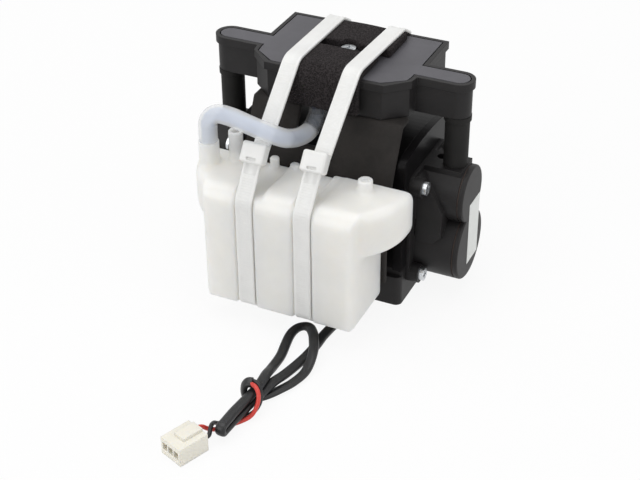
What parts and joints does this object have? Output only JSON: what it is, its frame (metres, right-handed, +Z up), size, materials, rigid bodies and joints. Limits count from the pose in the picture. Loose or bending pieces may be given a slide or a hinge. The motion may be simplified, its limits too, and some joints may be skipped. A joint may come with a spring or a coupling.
{
  "type": "diaphragm air pump",
  "caption": "Diaphragm air pump in a black case with opposed heads, a manifold on top, a white air tank strapped to its front, a clear bridging hose and a looped lead with a plug.",
  "frame": {"origin": "on the underside of the base block, below the pump axis", "axes": "+X from head to head towards the labelled cap, -Y towards the tank, +Z up"},
  "size_m": [0.1235, 0.189, 0.1077],
  "materials": {
    "black_plastic": "moulded, fine grain",
    "case_black": "moulded, semi-gloss",
    "core_steel": "stacked sheet edges",
    "natural_nylon": "moulded",
    "copper": "enamelled wire",
    "magnet": "sintered",
    "disc_aluminium": "turned",
    "screw_chrome": "plated",
    "black_rubber": "moulded",
    "valve_rubber": "moulded",
    "gasket_rubber": "cut sheet",
    "label_paper": "blank",
    "lid_grey": "fine grain",
    "foam": "open-cell foam",
    "pad_foam": "closed-cell foam sheet",
    "tank_white": "blow-moulded, translucent",
    "tie_nylon": "natural nylon",
    "clear_hose": "clear silicone",
    "lead_black": "sheath",
    "wire_red": "insulation",
    "plug_ivory": "moulded",
    "contact_brass": "stamped"
  },
  "bodies": {
    "frame": {"base_block": "black_plastic", "case_shell": "case_black", "front_core": "core_steel", "rear_core": "core_steel", "front_bobbin": "natural_nylon", "rear_bobbin": "natural_nylon", "front_coil": "copper", "rear_coil": "copper", "diaphragm_left": "black_rubber", "diaphragm_right": "black_rubber", "head_left": "black_plastic", "head_right": "black_plastic", "inlet_cages": "natural_nylon", "outlet_cages": "natural_nylon", "cap_gaskets": "gasket_rubber", "end_cap_left": "black_plastic", "end_cap_right": "black_plastic", "head_screws": "screw_chrome", "end_label": "label_paper", "riser_left": "black_rubber", "riser_right": "black_rubber", "manifold_box": "black_plastic", "manifold_lid": "lid_grey", "lid_screw": "screw_chrome", "foam_rear": "foam", "foam_front": "foam", "backing_pad": "pad_foam", "tank": "tank_white", "tie_left": "tie_nylon", "tie_right": "tie_nylon", "hose": "clear_hose", "lead_grommet": "black_rubber", "lead_sheath": "lead_black", "red_wire": "wire_red", "black_wire": "lead_black", "plug_housing": "plug_ivory", "plug_contacts": "contact_brass"},
    "shuttle": {"magnet_carrier": "natural_nylon", "magnet_left": "magnet", "magnet_right": "magnet", "inner_discs": "disc_aluminium", "outer_discs": "disc_aluminium", "rod_screws": "screw_chrome"},
    "inlet_disc_left": {"inlet_disc_left": "valve_rubber"},
    "inlet_disc_right": {"inlet_disc_right": "valve_rubber"},
    "outlet_disc_left": {"outlet_disc_left": "valve_rubber"},
    "outlet_disc_right": {"outlet_disc_right": "valve_rubber"}
  },
  "joints": [
    {"name": "shuttle_slide", "type": "slide", "parent": "frame", "child": "shuttle", "axis": [1, 0, 0], "range_m": [-0.0015, 0.0015], "stiffness_N_per_m": 1500, "deforming": ["diaphragm_left", "diaphragm_right"]},
    {"name": "inlet_disc_left_lift", "type": "slide", "parent": "frame", "child": "inlet_disc_left", "axis": [1, 0, 0], "range_m": [0, 0.0008]},
    {"name": "inlet_disc_right_lift", "type": "slide", "parent": "frame", "child": "inlet_disc_right", "axis": [-1, 0, 0], "range_m": [0, 0.0008]},
    {"name": "outlet_disc_left_lift", "type": "slide", "parent": "frame", "child": "outlet_disc_left", "axis": [-1, 0, 0], "range_m": [0, 0.0008]},
    {"name": "outlet_disc_right_lift", "type": "slide", "parent": "frame", "child": "outlet_disc_right", "axis": [1, 0, 0], "range_m": [0, 0.0008]}
  ]
}
